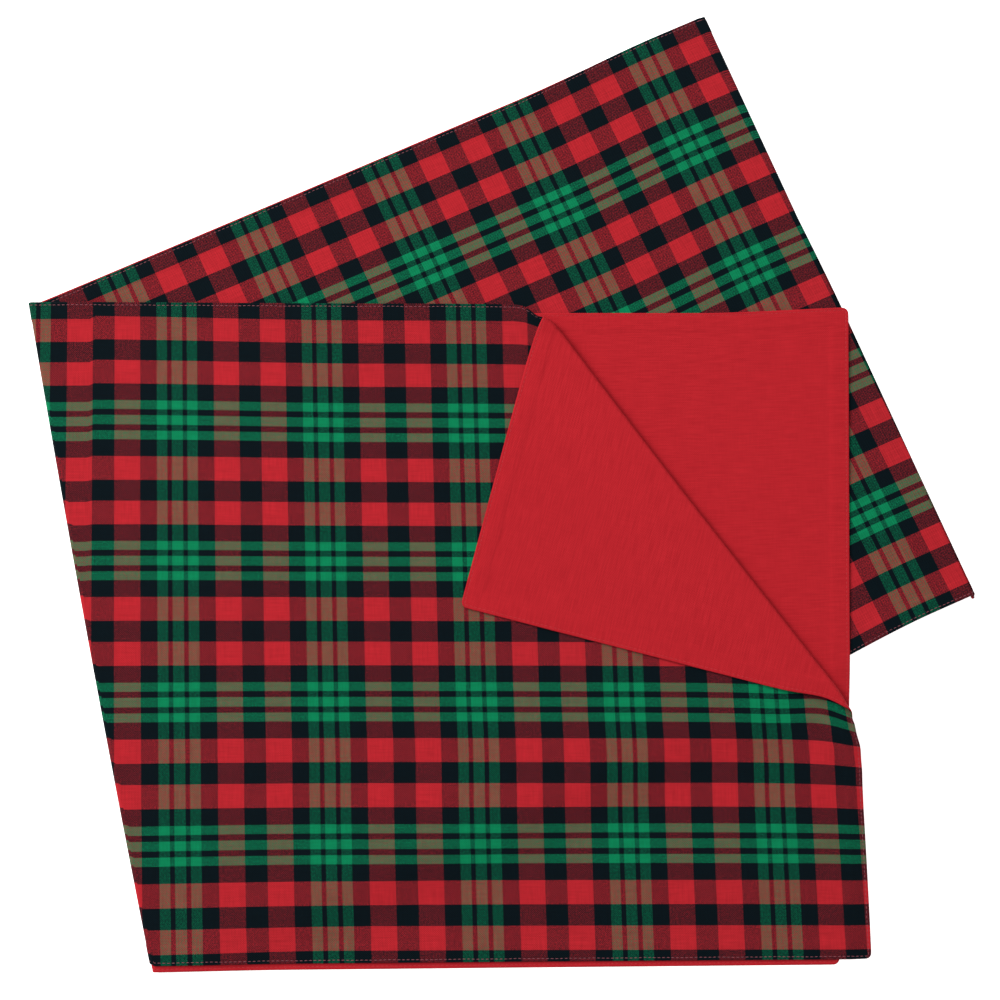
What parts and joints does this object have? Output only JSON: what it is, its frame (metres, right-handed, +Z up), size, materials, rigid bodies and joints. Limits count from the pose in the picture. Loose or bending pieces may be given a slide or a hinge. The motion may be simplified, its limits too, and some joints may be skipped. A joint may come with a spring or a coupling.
{
  "type": "table runner",
  "caption": "Lined table runner in checked cotton, folded for display with a slanted second fold and a turned-back corner showing the plain lining.",
  "frame": {"origin": "middle of the bounding box in plan, on the surface that the folded runner lies on", "axes": "+Z up from the table; +X along the front half towards its free ends; +Y away from the viewer, towards the back half; the model lies flat, so Z is its thickness"},
  "size_m": [0.5532, 0.559, 0.0067],
  "materials": {
    "plaid_cotton": "matt woven cotton, yarn-dyed check in red, green and near-black",
    "red_cotton": "matt plain-woven cotton, one red",
    "stitching_thread": "matt spun polyester thread, dark red",
    "seam_thread": "matt spun polyester thread, red"
  },
  "bodies": {
    "back_half": {"face_cloth_back": "plaid_cotton", "lining_back": "red_cotton", "joining_seam_back": "seam_thread", "edge_stitching_back": "stitching_thread", "face_cloth_outer_fold": "plaid_cotton", "lining_outer_fold": "red_cotton", "face_cloth_inner_fold": "plaid_cotton", "lining_inner_fold": "red_cotton"},
    "front_half": {"face_cloth_upper_end": "plaid_cotton", "lining_upper_end": "red_cotton", "joining_seam_upper_end": "seam_thread", "edge_stitching_upper_end": "stitching_thread", "face_cloth_under_end": "plaid_cotton", "lining_under_end": "red_cotton", "joining_seam_under_end": "seam_thread", "edge_stitching_under_end": "stitching_thread", "face_cloth_corner_crease": "plaid_cotton", "lining_corner_crease": "red_cotton"},
    "turned_corner": {"face_cloth_corner": "plaid_cotton", "lining_corner": "red_cotton", "joining_seam_corner": "seam_thread", "edge_stitching_corner": "stitching_thread"}
  },
  "joints": [
    {"name": "side_fold", "type": "hinge", "parent": "back_half", "child": "front_half", "pos_m": [-0.27399, 0.10497, 0.00335], "axis": [0.2045, -0.9789, 0], "range_deg": [0, 179], "deforming": ["face_cloth_outer_fold", "lining_outer_fold", "face_cloth_inner_fold", "lining_inner_fold"]},
    {"name": "corner_turn", "type": "hinge", "parent": "front_half", "child": "turned_corner", "pos_m": [0.02286, 0.10311, 0.00645], "axis": [-0.6022, 0.7984, 0], "range_deg": [0, 179], "deforming": ["face_cloth_corner_crease", "lining_corner_crease"]}
  ]
}
